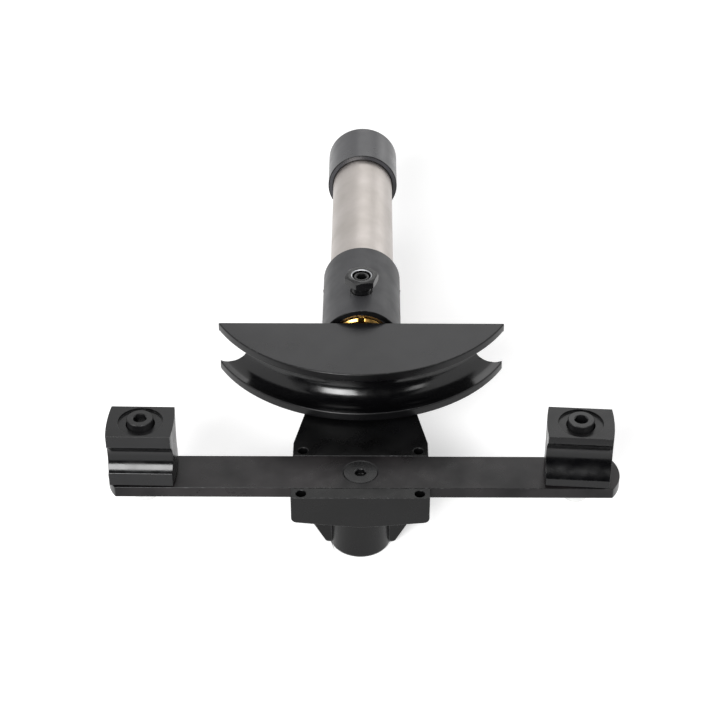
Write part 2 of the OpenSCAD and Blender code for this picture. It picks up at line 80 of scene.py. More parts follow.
def mm(length):
    """A length in millimetres, in Blender's metres."""
    return length * 0.001


# %% Set up the camera
camera_pitch = 35.7
camera_yaw = 0.3
camera = bpy.data.objects.new("photo_camera", bpy.data.cameras.new("photo_camera"))
camera.data.sensor_width = 36
camera.data.lens = 92.5
camera.location = (mm(3.5), mm(-711.5), mm(623))
camera.rotation_euler = (math.radians(90 - camera_pitch), 0, math.radians(camera_yaw))
bpy.context.scene.collection.objects.link(camera)
bpy.context.scene.camera = camera

# %% [markdown]
# ## Finishes
# Nearly every piece is blackened steel: the part is dipped in hot salts until its skin turns to
# black oxide, then oiled. The eye sees a charcoal satin with soft clouds of oil, the fine marks of
# the tool that cut the face, and edges where handling has rubbed the black thin. Each of those is
# one layer of noise here, at its real size in millimetres.


def linear(code):
    """An sRGB hex colour as the linear colour that a shader takes."""
    channels = [int(code[place:place + 2], 16) / 255 for place in (0, 2, 4)]
    return [c / 12.92 if c <= 0.04045 else ((c + 0.055) / 1.055) ** 2.4 for c in channels] + [1]


def new_finish(name):
    """A material with an empty node tree."""
    finish = bpy.data.materials.new(name)
    finish.use_nodes = True
    finish.node_tree.nodes.clear()
    return finish


def add_node(tree, kind, inputs=None, **settings):
    """Adds a node with its settings. An input that is a socket is linked, any other is a value."""
    node = tree.nodes.new(kind)
    for name, value in settings.items():
        setattr(node, name, value)
    for name, value in (inputs or {}).items():
        if isinstance(value, bpy.types.NodeSocket):
            tree.links.new(value, node.inputs[name])
        else:
            node.inputs[name].default_value = value
    return node


# Sockets of the Mix node when it mixes colours
MIX_FACTOR, MIX_A, MIX_B, MIX_RESULT = 0, 6, 7, 2


def noise(tree, size, stretch=(1, 1, 1), detail=2.0, centre=(0, 0, 0)):
    """A noise whose grains are of one real size, drawn out along the axes with a large stretch."""
    place = add_node(tree, "ShaderNodeTexCoord").outputs["Object"]
    squeeze = [1 / (size * longer) for longer in stretch]
    offset = [-c * s for c, s in zip(centre, squeeze)]
    moved = add_node(tree, "ShaderNodeMapping", {"Vector": place, "Scale": squeeze, "Location": offset})
    return add_node(tree, "ShaderNodeTexNoise", {
        "Vector": moved.outputs["Vector"], "Scale": 1.0, "Detail": detail}).outputs["Fac"]


def spread(tree, value, low, high, from_low=0.3, from_high=0.7):
    """Spreads a noise over a range of values."""
    return add_node(tree, "ShaderNodeMapRange", {
        "Value": value, "From Min": from_low, "From Max": from_high,
        "To Min": low, "To Max": high}).outputs["Result"]


def blend_colours(tree, factor, first, second):
    """Mixes two colours, each a hex code or a socket."""
    first, second = [linear(c) if isinstance(c, str) else c for c in (first, second)]
    return add_node(tree, "ShaderNodeMix", {MIX_FACTOR: factor, MIX_A: first, MIX_B: second},
        data_type="RGBA").outputs[MIX_RESULT]


def close_finish(finish, shader):
    """Links a shader to the material's output."""
    add_node(finish.node_tree, "ShaderNodeOutputMaterial", {"Surface": shader.outputs["BSDF"]})
    return finish


# %% [markdown]
# ### Blackened steel
# Three layers: clouds of oil 30 mm across that change the tone and the gloss, tool marks drawn out
# along the cut, and a fine grain of 0.4 mm. The real grain of black oxide is a hundredth of that,
# and 0.4 mm is as fine as the picture can show.


# %% Blackened steel
def blackened(name, dark, light, rough, marks, mark_depth=0.004, grain_depth=0.003, shine=0.5):
    """Black oxide on a machined face. marks stretches the tool marks along the axes."""
    finish = new_finish(name)
    tree = finish.node_tree
    cloud = noise(tree, mm(30), detail=4.0)
    tone = blend_colours(tree, spread(tree, cloud, 0, 1), dark, light)
    smear = spread(tree, noise(tree, mm(9), detail=3.0), rough - 0.05, rough + 0.07)
    tool_marks = add_node(tree, "ShaderNodeBump", {
        "Height": noise(tree, mm(0.7), marks), "Strength": 1.0, "Distance": mm(mark_depth)})
    grain = add_node(tree, "ShaderNodeBump", {
        "Height": noise(tree, mm(0.4)), "Strength": 1.0, "Distance": mm(grain_depth),
        "Normal": tool_marks.outputs["Normal"]})
    return close_finish(finish, add_node(tree, "ShaderNodeBsdfPrincipled", {
        "Base Color": tone, "Roughness": smear, "Specular IOR Level": shine,
        "Normal": grain.outputs["Normal"]}))


blackened_frame = blackened("black_oxide_milled_frame", "040404", "0a0a0b", 0.29, (40, 1, 1), shine=0.24)
blackened_bar = blackened("black_oxide_drawn_bar", "050405", "262324", 0.3, (60, 1, 1), shine=0.22)
blackened_die = blackened("black_oxide_milled_die", "0b0b0c", "131314", 0.28, (30, 1, 1), shine=0.28)
# The sleeve's copy is painted much lighter than the frame's black: painted light on the sleeve.
blackened_sleeve_painted_light = blackened("black_oxide_turned_sleeve_painted_light", "2e2e30", "38383a", 0.46, (1, 40, 1), shine=0.36)
blackened_screw = blackened("black_oxide_cold_headed_screw", "080809", "121213", 0.25, (1, 1, 1), shine=0.36)
blackened_knurl = blackened("black_oxide_knurled_head", "060607", "101011", 0.5, (1, 1, 1), shine=0.3)
blackened_cap = blackened("black_oxide_turned_cap", "333336", "3b3b3e", 0.3, (1, 1, 1), shine=0.45)


# %% [markdown]
# ### Rubbed edges
# Where two faces meet, the black wears thin and bare steel begins to show in short dashes. The
# bevels get this finish of their own, so that the wear is on the edges and nowhere else.


# %% Rubbed edge
def rubbed_edge(name, worn):
    """Black oxide with the bare metal showing through in dashes of about 2 mm."""
    finish = new_finish(name)
    tree = finish.node_tree
    bare = spread(tree, noise(tree, mm(2), detail=4.0), 0, worn, 0.56, 0.72)
    tone = blend_colours(tree, bare, "070708", "7c7c7e")
    return close_finish(finish, add_node(tree, "ShaderNodeBsdfPrincipled", {
        "Base Color": tone, "Roughness": 0.34, "Specular IOR Level": 0.3}))


blackened_edge = rubbed_edge("black_oxide_rubbed_edge", 0.16)
anodised_edge = rubbed_edge("hard_anodised_rubbed_edge", 0.12)


# %% [markdown]
# ### The former's finishes
# The former is turned and then hard anodised black. Its flat faces and its rims keep the fine rings
# that the lathe tool left, centred on the bend's own centre, and the rims are the duller ones. The
# rims are also painted darker than the faces: painted shade. Its groove is polished, because the
# pipe slides into it, and shows long clean reflections.


# %% Former face and groove
former_low, former_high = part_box("former")
former_r = mm(84)
former_centre = Vector((0, former_low.y + former_r, (former_low.z + former_high.z) / 2))


ring_step = mm(0.8)


def turned_anodised(name, dark, light, rough, shine):
    """Hard anodised aluminium with fine lathe rings round the bend's centre."""
    finish = new_finish(name)
    tree = finish.node_tree
    place = add_node(tree, "ShaderNodeTexCoord").outputs["Object"]
    moved = add_node(tree, "ShaderNodeMapping", {"Vector": place, "Location": -former_centre})
    rings = add_node(tree, "ShaderNodeTexWave", {
        "Vector": moved.outputs["Vector"], "Scale": 0.314 / ring_step / 6.283 * 2, "Distortion": 0.6,
        "Detail": 2.0}, wave_type="RINGS", rings_direction="Z")
    cloud = noise(tree, mm(45), detail=3.0)
    tone = blend_colours(tree, spread(tree, cloud, 0, 1), dark, light)
    ring_bump = add_node(tree, "ShaderNodeBump", {
        "Height": rings.outputs["Fac"], "Strength": 1.0, "Distance": mm(0.0015)})
    grain = add_node(tree, "ShaderNodeBump", {
        "Height": noise(tree, mm(0.5)), "Strength": 1.0, "Distance": mm(0.003),
        "Normal": ring_bump.outputs["Normal"]})
    smear = spread(tree, noise(tree, mm(14), detail=3.0), rough - 0.04, rough + 0.04)
    return close_finish(finish, add_node(tree, "ShaderNodeBsdfPrincipled", {
        "Base Color": tone, "Roughness": smear, "Specular IOR Level": shine,
        "Normal": grain.outputs["Normal"]}))


def polished_groove(name, rough, shine):
    """A groove polished black: nearly smooth, with faint streaks along the pipe."""
    finish = new_finish(name)
    tree = finish.node_tree
    streaks = noise(tree, mm(1.2), (14, 14, 1), detail=2.0)
    waver = add_node(tree, "ShaderNodeBump", {
        "Height": streaks, "Strength": 1.0, "Distance": mm(0.004)})
    smear = spread(tree, noise(tree, mm(6), detail=2.0), rough - 0.04, rough + 0.06)
    return close_finish(finish, add_node(tree, "ShaderNodeBsdfPrincipled", {
        "Base Color": linear("050506"), "Roughness": smear, "Specular IOR Level": shine,
        "Normal": waver.outputs["Normal"]}))


anodised_face = turned_anodised("hard_anodised_faced_former", "0e0e10", "161618", 0.24, 0.26)
# The rim's copy is painted darker than the face's: painted shade on the rim.
anodised_rim_painted_shade = turned_anodised("hard_anodised_turned_rim_painted_shade", "060607", "0b0b0c", 0.3, 0.26)
anodised_groove = polished_groove("hard_anodised_polished_groove", 0.18, 0.45)
die_groove = polished_groove("black_oxide_burnished_groove", 0.19, 0.31)


# %% [markdown]
# ### Bare metals
# The barrel is a ground steel tube: a warm grey satin with grinding lines round it and faint
# patches left by handling. The gland is turned brass, the nuts are zinc plated, the rod is hard
# chromed and the hidden pieces are plain turned steel. A metal's colour is its reflection, so its
# base colour is light and its roughness sets how soft the studio looks in it.


# %% Bare metals
def bare_metal(name, dark, light, rough, patch, lines=(1, 1, 1), line_size=0.5, line_depth=0.002):
    """A metal with patches of tone and with fine lines drawn out along the axes."""
    finish = new_finish(name)
    tree = finish.node_tree
    patches = spread(tree, noise(tree, mm(patch), detail=4.0), 0, 1)
    tone = blend_colours(tree, patches, dark, light)
    smear = spread(tree, noise(tree, mm(patch * 0.6), detail=3.0), rough - 0.04, rough + 0.06)
    fine = add_node(tree, "ShaderNodeBump", {
        "Height": noise(tree, mm(line_size), lines), "Strength": 1.0, "Distance": mm(line_depth)})
    return close_finish(finish, add_node(tree, "ShaderNodeBsdfPrincipled", {
        "Base Color": tone, "Metallic": 1.0, "Roughness": smear, "Normal": fine.outputs["Normal"]}))


ground_tube = bare_metal("ground_steel_tube", "aca6a1", "b8b2ae", 0.42, 16, (30, 1, 30), 0.35)
turned_brass = bare_metal("turned_brass", "b98c45", "cda45f", 0.27, 8)
zinc_plate = bare_metal("zinc_plated_steel", "d6d6d6", "e2e2e0", 0.34, 5)
hard_chrome = bare_metal("hard_chromed_steel", "a9aaad", "b6b7ba", 0.12, 20, (20, 1, 20), 0.3, 0.0005)
turned_steel = bare_metal("turned_bright_steel", "9a9b9e", "b0b1b3", 0.3, 10, (20, 1, 20), 0.4)
sintered_bronze = bare_metal("sintered_bronze", "8f6c38", "a98248", 0.42, 3)
spring_steel = bare_metal("oil_tempered_spring_steel", "3a3b3e", "55565a", 0.38, 6)


# %% [markdown]
# ### Rubber and seal plastics
# The O-rings and the wiper are black nitrile rubber, the lip seals dark blue polyurethane and the
# guide ring brown fabric-filled phenolic. They are moulded, so they have a soft sheen and no tool
# marks.


# %% Rubber and plastics
def moulded(name, dark, light, rough):
    """A moulded rubber or plastic with a faint mottle and a fine skin."""
    finish = new_finish(name)
    tree = finish.node_tree
    tone = blend_colours(tree, spread(tree, noise(tree, mm(2)), 0, 1), dark, light)
    skin = add_node(tree, "ShaderNodeBump", {
        "Height": noise(tree, mm(0.3)), "Strength": 1.0, "Distance": mm(0.01)})
    return close_finish(finish, add_node(tree, "ShaderNodeBsdfPrincipled", {
        "Base Color": tone, "Roughness": rough, "Normal": skin.outputs["Normal"]}))


nitrile_rubber = moulded("moulded_nitrile_rubber", "151516", "1c1c1d", 0.55)
blue_urethane = moulded("moulded_polyurethane_seal", "1a2340", "22305a", 0.4)
phenolic = moulded("fabric_filled_phenolic", "4a3020", "634029", 0.6)

# %% [markdown]
# ## Workshop helpers
# The pieces are cut the way a machinist would cut them: a block or a round bar is taken, sawn,
# drilled and bored, and at the end every sharp edge is broken. In Blender these are primitives,
# the bisect and bevel operators in edit mode, and Boolean and Bevel modifiers that are applied at
# once.

# %% Helpers: take a piece of stock
TINY = 1e-6


def only(piece):
    """Makes a piece the only selected and the active object."""
    bpy.ops.object.select_all(action="DESELECT")
    piece.select_set(True)
    bpy.context.view_layer.objects.active = piece


def settled(name, finishes):
    """Names the new primitive and moves its place, turn and size into its mesh."""
    piece = bpy.context.object
    piece.name = name
    only(piece)
    bpy.ops.object.transform_apply(location=True, rotation=True, scale=True)
    for finish in finishes:
        piece.data.materials.append(finish)
    return piece


def block(name, low, high, finishes=()):
    """A block between two corners."""
    low, high = Vector(low), Vector(high)
    bpy.ops.object.select_all(action="DESELECT")
    bpy.ops.mesh.primitive_cube_add(size=1, location=(low + high) / 2, scale=high - low)
    return settled(name, finishes)


def bar(name, start, end, radius, end_radius=None, sides=96, finishes=()):
    """A round bar or a cone from one point to another. With 6 sides, its corners point to +-X."""
    start, end = Vector(start), Vector(end)
    turn = (end - start).to_track_quat("Z", "Y") @ Quaternion((0, 0, 1), math.radians(90))
    bpy.ops.object.select_all(action="DESELECT")
    bpy.ops.mesh.primitive_cone_add(vertices=sides, radius1=radius,
        radius2=radius if end_radius is None else end_radius, depth=(end - start).length,
        location=(start + end) / 2, rotation=turn.to_euler())
    return settled(name, finishes)


# %% Helpers: saw, combine and break the edges
@contextlib.contextmanager
def editing(piece):
    """Opens a piece in edit mode, and closes it again."""
    only(piece)
    bpy.ops.object.mode_set(mode="EDIT")
    yield
    bpy.ops.object.mode_set(mode="OBJECT")


def pick_edges(piece, test, upright=False):
    """In edit mode, selects the edges whose two ends pass a test of their place."""
    bpy.ops.mesh.select_mode(type="EDGE")
    bpy.ops.mesh.select_all(action="DESELECT")
    mesh = bmesh.from_edit_mesh(piece.data)
    for edge in mesh.edges:
        start, end = [vertex.co for vertex in edge.verts]
        rises = abs(end.z - start.z) > 0.99 * (end - start).length
        edge.select_set(test(start) and test(end) and (rises or not upright))
    mesh.select_flush_mode()
    bmesh.update_edit_mesh(piece.data)


def saw(piece, point, outward):
    """Saws off what lies beyond a plane, and closes the cut."""
    with editing(piece):
        bpy.ops.mesh.select_all(action="SELECT")
        bpy.ops.mesh.bisect(plane_co=point, plane_no=Vector(outward).normalized(), use_fill=True,
            clear_outer=True, threshold=TINY)


def score(piece, point, normal, test):
    """Cuts a line across the faces whose middle passes a test. A hole beside it spares the rest."""
    with editing(piece):
        bpy.ops.mesh.select_mode(type="FACE")
        bpy.ops.mesh.select_all(action="DESELECT")
        mesh = bmesh.from_edit_mesh(piece.data)
        for face in mesh.faces:
            face.select_set(test(face.calc_center_median()))
        bmesh.update_edit_mesh(piece.data)
        bpy.ops.mesh.bisect(plane_co=point, plane_no=normal, threshold=TINY)


def round_edges(piece, test, radius, segments=6, upright=False):
    """Rounds the edges whose ends pass a test, or only the upright ones of them."""
    with editing(piece):
        pick_edges(piece, test, upright)
        bpy.ops.mesh.bevel(offset=radius, segments=segments, affect="EDGES", clamp_overlap=False)


def shape(piece, kind, **settings):
    """Adds a modifier to a piece and applies it at once."""
    only(piece)
    modifier = piece.modifiers.new(kind, kind)
    for name, value in settings.items():
        setattr(modifier, name, value)
    bpy.ops.object.modifier_apply(modifier=modifier.name)


def combine(piece, other, operation="DIFFERENCE"):
    """Cuts another piece away, welds it on or keeps what both share. The other piece is used up."""
    shape(piece, "BOOLEAN", object=other, operation=operation, solver="EXACT")
    bpy.data.objects.remove(other)


def drill(piece, start, end, radius, end_radius=None, sides=96):
    """Drills a round or conical hole from one point to another."""
    combine(piece, bar("drill", start, end, radius, end_radius, sides))


def smooth(piece, largest_angle=35):
    """Shades a piece smooth, apart from the edges with a larger angle."""
    only(piece)
    bpy.ops.object.shade_smooth_by_angle(angle=math.radians(largest_angle))


def soften(piece, width, segments=3, smallest_angle=12):
    """Breaks every sharp edge and shades the piece smooth. The bevels get the second finish."""
    with editing(piece):
        bpy.ops.mesh.select_all(action="SELECT")
        bpy.ops.mesh.remove_doubles(threshold=width / 4)
    shape(piece, "BEVEL", width=width, segments=segments, limit_method="ANGLE",
        angle_limit=math.radians(smallest_angle), use_clamp_overlap=False,
        material=min(1, len(piece.data.materials) - 1))
    smooth(piece, 40)
    shape(piece, "WEIGHTED_NORMAL", keep_sharp=True, weight=50)


def repaint(piece, finish, test):
    """Gives the faces whose middle passes a test another of the piece's finishes."""
    for face in piece.data.polygons:
        if test(face.center):
            face.material_index = finish


def stand_for(piece, node):
    """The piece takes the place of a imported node, with its body."""
    body = frame["nodes"][node]["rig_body"]
    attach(piece, body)
    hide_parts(node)
    print(f"{piece.name}: {len(piece.data.polygons)} faces on {body}, for {node}")


# %% [markdown]
# ## The frame
# One block of steel carries everything. In front it is a head with a slot for the crossbar, it
# tapers back to a saddle under the sleeve that grips the cylinder, and a post with two ribs goes
# down to the stand. It is built from five pieces of stock that are welded together, and then the
# slot and the holes are cut through all of them, so that every hole is one clean cut.

# %% Frame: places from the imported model
frame_low, frame_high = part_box("frame")
bar_low, bar_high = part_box("crossbar")
barrel_low, barrel_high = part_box("barrel")
deck_z = bar_high.z
ram_z = (barrel_low.z + barrel_high.z) / 2
barrel_r = (barrel_high.x - barrel_low.x) / 2
sleeve_r = frame_high.z - ram_z
sleeve_back = frame_high.y
sleeve_front = sleeve_back - mm(61.7)
running_fit = mm(0.05)
hair = mm(0.02)

# %% Frame: the head block, sawn to its taper and its shallow keel
head_mid_t = mm(19.1)
head_edge_t = mm(15.7)
shoulder_y = mm(23.2)
mouth_chamfer = mm(0.5)
saddle_front = sleeve_front + mouth_chamfer


def saw_keel(piece, lift=0.0):
    """Saws the underside to two planes that meet along the middle."""
    for side in (-1, 1):
        saw(piece, (0, 0, deck_z - head_mid_t + lift),
            (side * (head_mid_t - head_edge_t), 0, -frame_high.x))


frame_body = block("frame_body", (frame_low.x, frame_low.y, deck_z - head_mid_t),
    (frame_high.x, saddle_front + mm(5), deck_z), [blackened_frame, blackened_edge, blackened_sleeve_painted_light])
saw_keel(frame_body)
for side in (-1, 1):
    saw(frame_body, (side * frame_high.x, shoulder_y, 0),
        (side * (sleeve_front - shoulder_y), frame_high.x - sleeve_r, 0))
round_edges(frame_body, lambda p: abs(p.x) > frame_high.x - TINY and p.z < deck_z - head_edge_t / 2,
    mm(2.5))

# %% Frame: the saddle and the sleeve
saddle_back = sleeve_back - mm(8)
slope_y = sleeve_front + (sleeve_back - sleeve_front) / 3
saddle = block("saddle", (hair - sleeve_r, saddle_front, deck_z - head_mid_t),
    (sleeve_r - hair, saddle_back, ram_z))
saw_keel(saddle, hair)
saw(saddle, (0, saddle_back, ram_z - sleeve_r),
    (0, ram_z - sleeve_r - deck_z + head_mid_t, slope_y - saddle_back))
sleeve = bar("sleeve", (0, sleeve_front, ram_z), (0, sleeve_back, ram_z), sleeve_r, sides=160)
combine(frame_body, saddle, "UNION")
combine(frame_body, sleeve, "UNION")

# %% Frame: the post and its ribs
post_r = mm(15.3)
rib_top_x = mm(31)
rib_low_x = mm(16.6)
rib_low_z = mm(1)
rib_top_z = deck_z - head_edge_t
post = bar("post", (0, 0, 0), (0, 0, rib_top_z), post_r, sides=128)
round_edges(post, lambda p: p.z < TINY, mm(2))
ribs = block("ribs", (-rib_top_x, -mm(5), rib_low_z), (rib_top_x, mm(5), rib_top_z))
for side in (-1, 1):
    saw(ribs, (side * rib_low_x, 0, rib_low_z),
        (side * (rib_top_z - rib_low_z), 0, rib_low_x - rib_top_x))
round_edges(ribs, lambda p: p.z < rib_low_z + TINY and abs(p.x) > rib_low_x - TINY, mm(2.5))
combine(frame_body, ribs, "UNION")
combine(frame_body, post, "UNION")

# %% Frame: the slot, the bores and the threaded holes
slot_gap = mm(0.2)
past = mm(1)
slot = block("slot", (2 * frame_low.x, bar_low.y - slot_gap, bar_low.z),
    (2 * frame_high.x, bar_high.y + slot_gap, deck_z + past))
combine(frame_body, slot)
drill(frame_body, (0, 0, deck_z - mm(21)), (0, 0, deck_z), mm(4), sides=64)
socket_r = mm(10)
drill(frame_body, (0, 0, -past), (0, 0, mm(18)), socket_r)
hole_r = mm(2.5)
for x in (-mm(29), mm(29)):
    for y in (-mm(16.75), mm(16.75)):
        drill(frame_body, (x, y, deck_z - mm(12)), (x, y, deck_z + past), hole_r, sides=48)
bore_r = barrel_r + running_fit
drill(frame_body, (0, sleeve_front - past, ram_z), (0, sleeve_back + past, ram_z), bore_r, sides=160)
drill(frame_body, (0, sleeve_front - past, ram_z), (0, sleeve_front + mouth_chamfer, ram_z),
    bore_r + mouth_chamfer + past, bore_r, sides=160)
lock_low, lock_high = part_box("lock_screw")
lock_y = (lock_low.y + lock_high.y) / 2
lock_r = mm(5)
for side in (-1, 1):
    score(frame_body, (0, lock_y + side * mm(7.5), 0), (0, 1, 0), lambda p: p.z > ram_z + mm(12))
drill(frame_body, (0, lock_y, ram_z), (0, lock_y, frame_high.z + past), lock_r, sides=40)
drill(frame_body, (0, lock_y, frame_high.z - mm(1.3)), (0, lock_y, frame_high.z + past),
    lock_r, mm(6.3) + past, sides=40)
soften(frame_body, mm(0.4))
# The sleeve's outside takes the lighter copy of the casting's black: painted light.
repaint(frame_body, 2,
    lambda p: p.y > sleeve_front and abs(math.hypot(p.x, p.z - ram_z) - sleeve_r) < mm(0.1))
stand_for(frame_body, "frame")

# %% [markdown]
# ## The crossbar and its screw
# The bar is a length of drawn flat steel with rounded ends. It lies in the head's slot and one
# countersunk screw holds it. The screw's head is a cone with a hexagon socket, and its rim shows
# as a thin ring in the countersink.

# %% Crossbar
screw_r = mm(4)
hole_gap = mm(0.2)
csk_r = mm(8.5)
bar_end_r = mm(20)
pivot_x = mm(107)
end_centres = (bar_low.x + bar_end_r, bar_high.x - bar_end_r)
crossbar_flat = block("crossbar_flat", bar_low, bar_high, [blackened_bar, blackened_edge])
outline = block("outline", (end_centres[0], 1.2 * bar_low.y, bar_low.z - past),
    (end_centres[1], 1.2 * bar_high.y, bar_high.z + past))
for x in end_centres:
    end = bar("end", (x, 0, bar_low.z - past), (x, 0, bar_high.z + past), bar_end_r, sides=192)
    combine(outline, end, "UNION")
combine(crossbar_flat, outline, "INTERSECT")
for x in (-pivot_x, 0, pivot_x):
    drill(crossbar_flat, (x, 0, bar_low.z - past), (x, 0, deck_z + past), screw_r + hole_gap, sides=64)
drill(crossbar_flat, (0, 0, deck_z - csk_r + screw_r), (0, 0, deck_z + past), screw_r + hole_gap,
    csk_r + hole_gap + past)
soften(crossbar_flat, mm(0.35))
stand_for(crossbar_flat, "crossbar")

# %% Countersunk screw
csk_low, csk_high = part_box("crossbar_screw")
shank_r = screw_r - running_fit
cone_z = csk_high.z - csk_r + shank_r
countersunk_screw = bar("countersunk_screw", (0, 0, cone_z), (0, 0, csk_high.z), shank_r, csk_r,
    finishes=[blackened_screw, blackened_edge])
combine(countersunk_screw, bar("shank", csk_low.z * Vector((0, 0, 1)), (0, 0, cone_z + past),
    shank_r - hair), "UNION")


def hexagon(flats):
    """Half the width across the corners of a hexagon."""
    return flats / 2 / math.cos(math.radians(30))


drill(countersunk_screw, (0, 0, csk_high.z - mm(3)), (0, 0, csk_high.z + past), hexagon(mm(5)), sides=6)
drill(countersunk_screw, (0, 0, csk_high.z - mm(0.4)), (0, 0, csk_high.z + hair), mm(2.5), mm(3))
soften(countersunk_screw, mm(0.3))
stand_for(countersunk_screw, "crossbar_screw")

# %% [markdown]
# ## The counter dies
# Each die is a block with bulging sides, a narrow pipe groove on one face and a wide one on the
# other, and it turns on a shouldered screw. Both are cut alike, so one is modelled, copied and
# turned half round. The grooves are burnished by the pipes and get a glossier finish.

# %% One counter die, with its narrow groove to the front
left_low, left_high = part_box("left_die")
die_h = left_high.z - left_low.z
die_w = mm(32.7)
die_d = mm(24.4)
side_r = mm(93)
groove_z = mm(15.3)
narrow_r = mm(10)
narrow_y = -die_d / 2 + mm(4) - narrow_r
wide_r = mm(14)
wide_y = die_d / 2 - mm(5.4) + wide_r
head_r = mm(6.5)
counter_die = block("left_counter_die", (-die_w / 2, -die_d / 2, 0), (die_w / 2, die_d / 2, die_h),
    [blackened_die, blackened_edge, die_groove])
for side in (-1, 1):
    x = side * (side_r - die_w / 2)
    combine(counter_die, bar("bulge", (x, 0, -past), (x, 0, die_h + past), side_r, sides=180),
        "INTERSECT")
for y, radius in ((narrow_y, narrow_r), (wide_y, wide_r)):
    drill(counter_die, (-die_w, y, groove_z), (die_w, y, groove_z), radius, sides=60)
drill(counter_die, (0, 0, -past), (0, 0, die_h + past), mm(6.05), sides=60)
drill(counter_die, (0, 0, mm(24.1)), (0, 0, die_h + past), head_r + mm(0.5), sides=60)
drill(counter_die, (0, 0, die_h - mm(1.2)), (0, 0, die_h + past), mm(11), sides=60)
soften(counter_die, mm(0.2))
for y, radius in ((narrow_y, narrow_r), (wide_y, wide_r)):
    repaint(counter_die, 2, lambda p: math.hypot(p.y - y, p.z - groove_z) < radius + mm(0.1))

# %% Two dies, each turned on its pivot
right_die = counter_die.copy()
right_die.data = counter_die.data.copy()
right_die.name = "right_counter_die"
bpy.context.scene.collection.objects.link(right_die)
for die, x, turn, node in (
        (counter_die, -pivot_x, -1.0, "left_die"), (right_die, pivot_x, 176.2, "right_die")):
    die.location = (x, 0, left_low.z)
    die.rotation_euler = (0, 0, math.radians(turn))
    only(die)
    bpy.ops.object.transform_apply(location=True, rotation=True, scale=True)
    stand_for(die, node)

# %% [markdown]
# ## Pivot screws and nuts
# The dies turn on socket head screws. Their heads are knurled for the fingers: sixty little
# ridges, made by pulling in every other side edge of the round head. Under the bar a zinc-plated
# nut with a collar holds each one.

# %% One pivot screw
screws_low, screws_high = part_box("pivot_screws")
head_top = screws_high.z
head_seat = head_top - mm(8)
head_edge = mm(0.4)
knurls = 60
pivot_screw = bar("pivot_screws_knurled", (0, 0, head_seat), (0, 0, head_top - head_edge), head_r,
    sides=2 * knurls, finishes=[blackened_screw, blackened_knurl])
with editing(pivot_screw):
    bpy.ops.mesh.select_mode(type="FACE")
    bpy.ops.mesh.select_all(action="DESELECT")
    mesh = bmesh.from_edit_mesh(pivot_screw.data)
    for face in mesh.faces:
        face.select_set(face.normal.z > 0.9)
    bmesh.update_edit_mesh(pivot_screw.data)
    bpy.ops.mesh.extrude_region_move(TRANSFORM_OT_translate={"value": (0, 0, head_edge)})
    bpy.ops.transform.resize(value=(0.94, 0.94, 1), center_override=(0, 0, head_top))
    bpy.ops.mesh.select_all(action="DESELECT")
    mesh = bmesh.from_edit_mesh(pivot_screw.data)
    for vertex in mesh.verts:
        place = round(math.degrees(math.atan2(vertex.co.y, vertex.co.x)) * knurls / 180)
        vertex.select_set(place % 2 == 0 and vertex.co.z < head_top - head_edge / 2)
    mesh.select_flush_mode()
    bmesh.update_edit_mesh(pivot_screw.data)
    bpy.ops.transform.resize(value=(0.962, 0.962, 1), center_override=(0, 0, head_top))
combine(pivot_screw, bar("shank", (0, 0, screws_low.z), (0, 0, head_seat + past), shank_r, sides=64),
    "UNION")
drill(pivot_screw, (0, 0, head_top - mm(4)), (0, 0, head_top + past), hexagon(mm(6)), sides=6)
drill(pivot_screw, (0, 0, head_top - mm(0.5)), (0, 0, head_top + hair), mm(3), mm(3.6))
smooth(pivot_screw, 25)
repaint(pivot_screw, 1, lambda p: math.hypot(p.x, p.y) > 0.93 * head_r and p.z < head_top - TINY)

# %% One pivot nut
nuts_low, nuts_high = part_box("pivot_nuts")
collar_h = mm(2.5)
nut_flats = mm(13)


def chamfer_nut(nut, low, high, flats):
    """Rounds the six corners of a nut a little and turns them down to a cone at both faces."""
    round_edges(nut, lambda p: True, mm(0.25), 3, upright=True)
    drop = (high - low) / math.tan(math.radians(30))
    face_r = flats / 2 * 0.97
    for start, end in ((low, high), (high, low)):
        combine(nut, bar("cone", (0, 0, start), (0, 0, end), face_r + drop, face_r, sides=64), "INTERSECT")


pivot_nut = bar("pivot_nuts_zinc", (0, 0, nuts_low.z + collar_h), (0, 0, nuts_high.z), hexagon(nut_flats),
    sides=6, finishes=[zinc_plate])
chamfer_nut(pivot_nut, nuts_low.z + collar_h, nuts_high.z, nut_flats)
collar = bar("collar", (0, 0, nuts_low.z), (0, 0, nuts_low.z + collar_h + past), nut_flats / 2 - mm(0.5))
combine(pivot_nut, collar, "UNION")
drill(pivot_nut, (0, 0, nuts_low.z - past), (0, 0, nuts_high.z + past), screw_r, sides=64)
smooth(pivot_nut)


# %% A screw and a nut at both pivots
def at_both_pivots(piece, node):
    """Copies a piece to both pivots, joins the two and hands them over."""
    twin = piece.copy()
    twin.data = piece.data.copy()
    bpy.context.scene.collection.objects.link(twin)
    piece.location.x = -pivot_x
    twin.location.x = pivot_x
    bpy.ops.object.select_all(action="DESELECT")
    twin.select_set(True)
    piece.select_set(True)
    bpy.context.view_layer.objects.active = piece
    bpy.ops.object.join()
    bpy.ops.object.transform_apply(location=True, rotation=True, scale=True)
    stand_for(piece, node)


at_both_pivots(pivot_screw, "pivot_screws")
at_both_pivots(pivot_nut, "pivot_nuts")

# %% [markdown]
# ## The former
# A thick disc is turned, a deep round-bottomed groove is cut into its rim, and a slice of the disc
# is sawn off to make the shoe. The groove's walls are straight for the last 3 mm, so that they
# hold the sides of the pipe. A bore with a chamfered mouth in the sawn face takes the ram's nose.

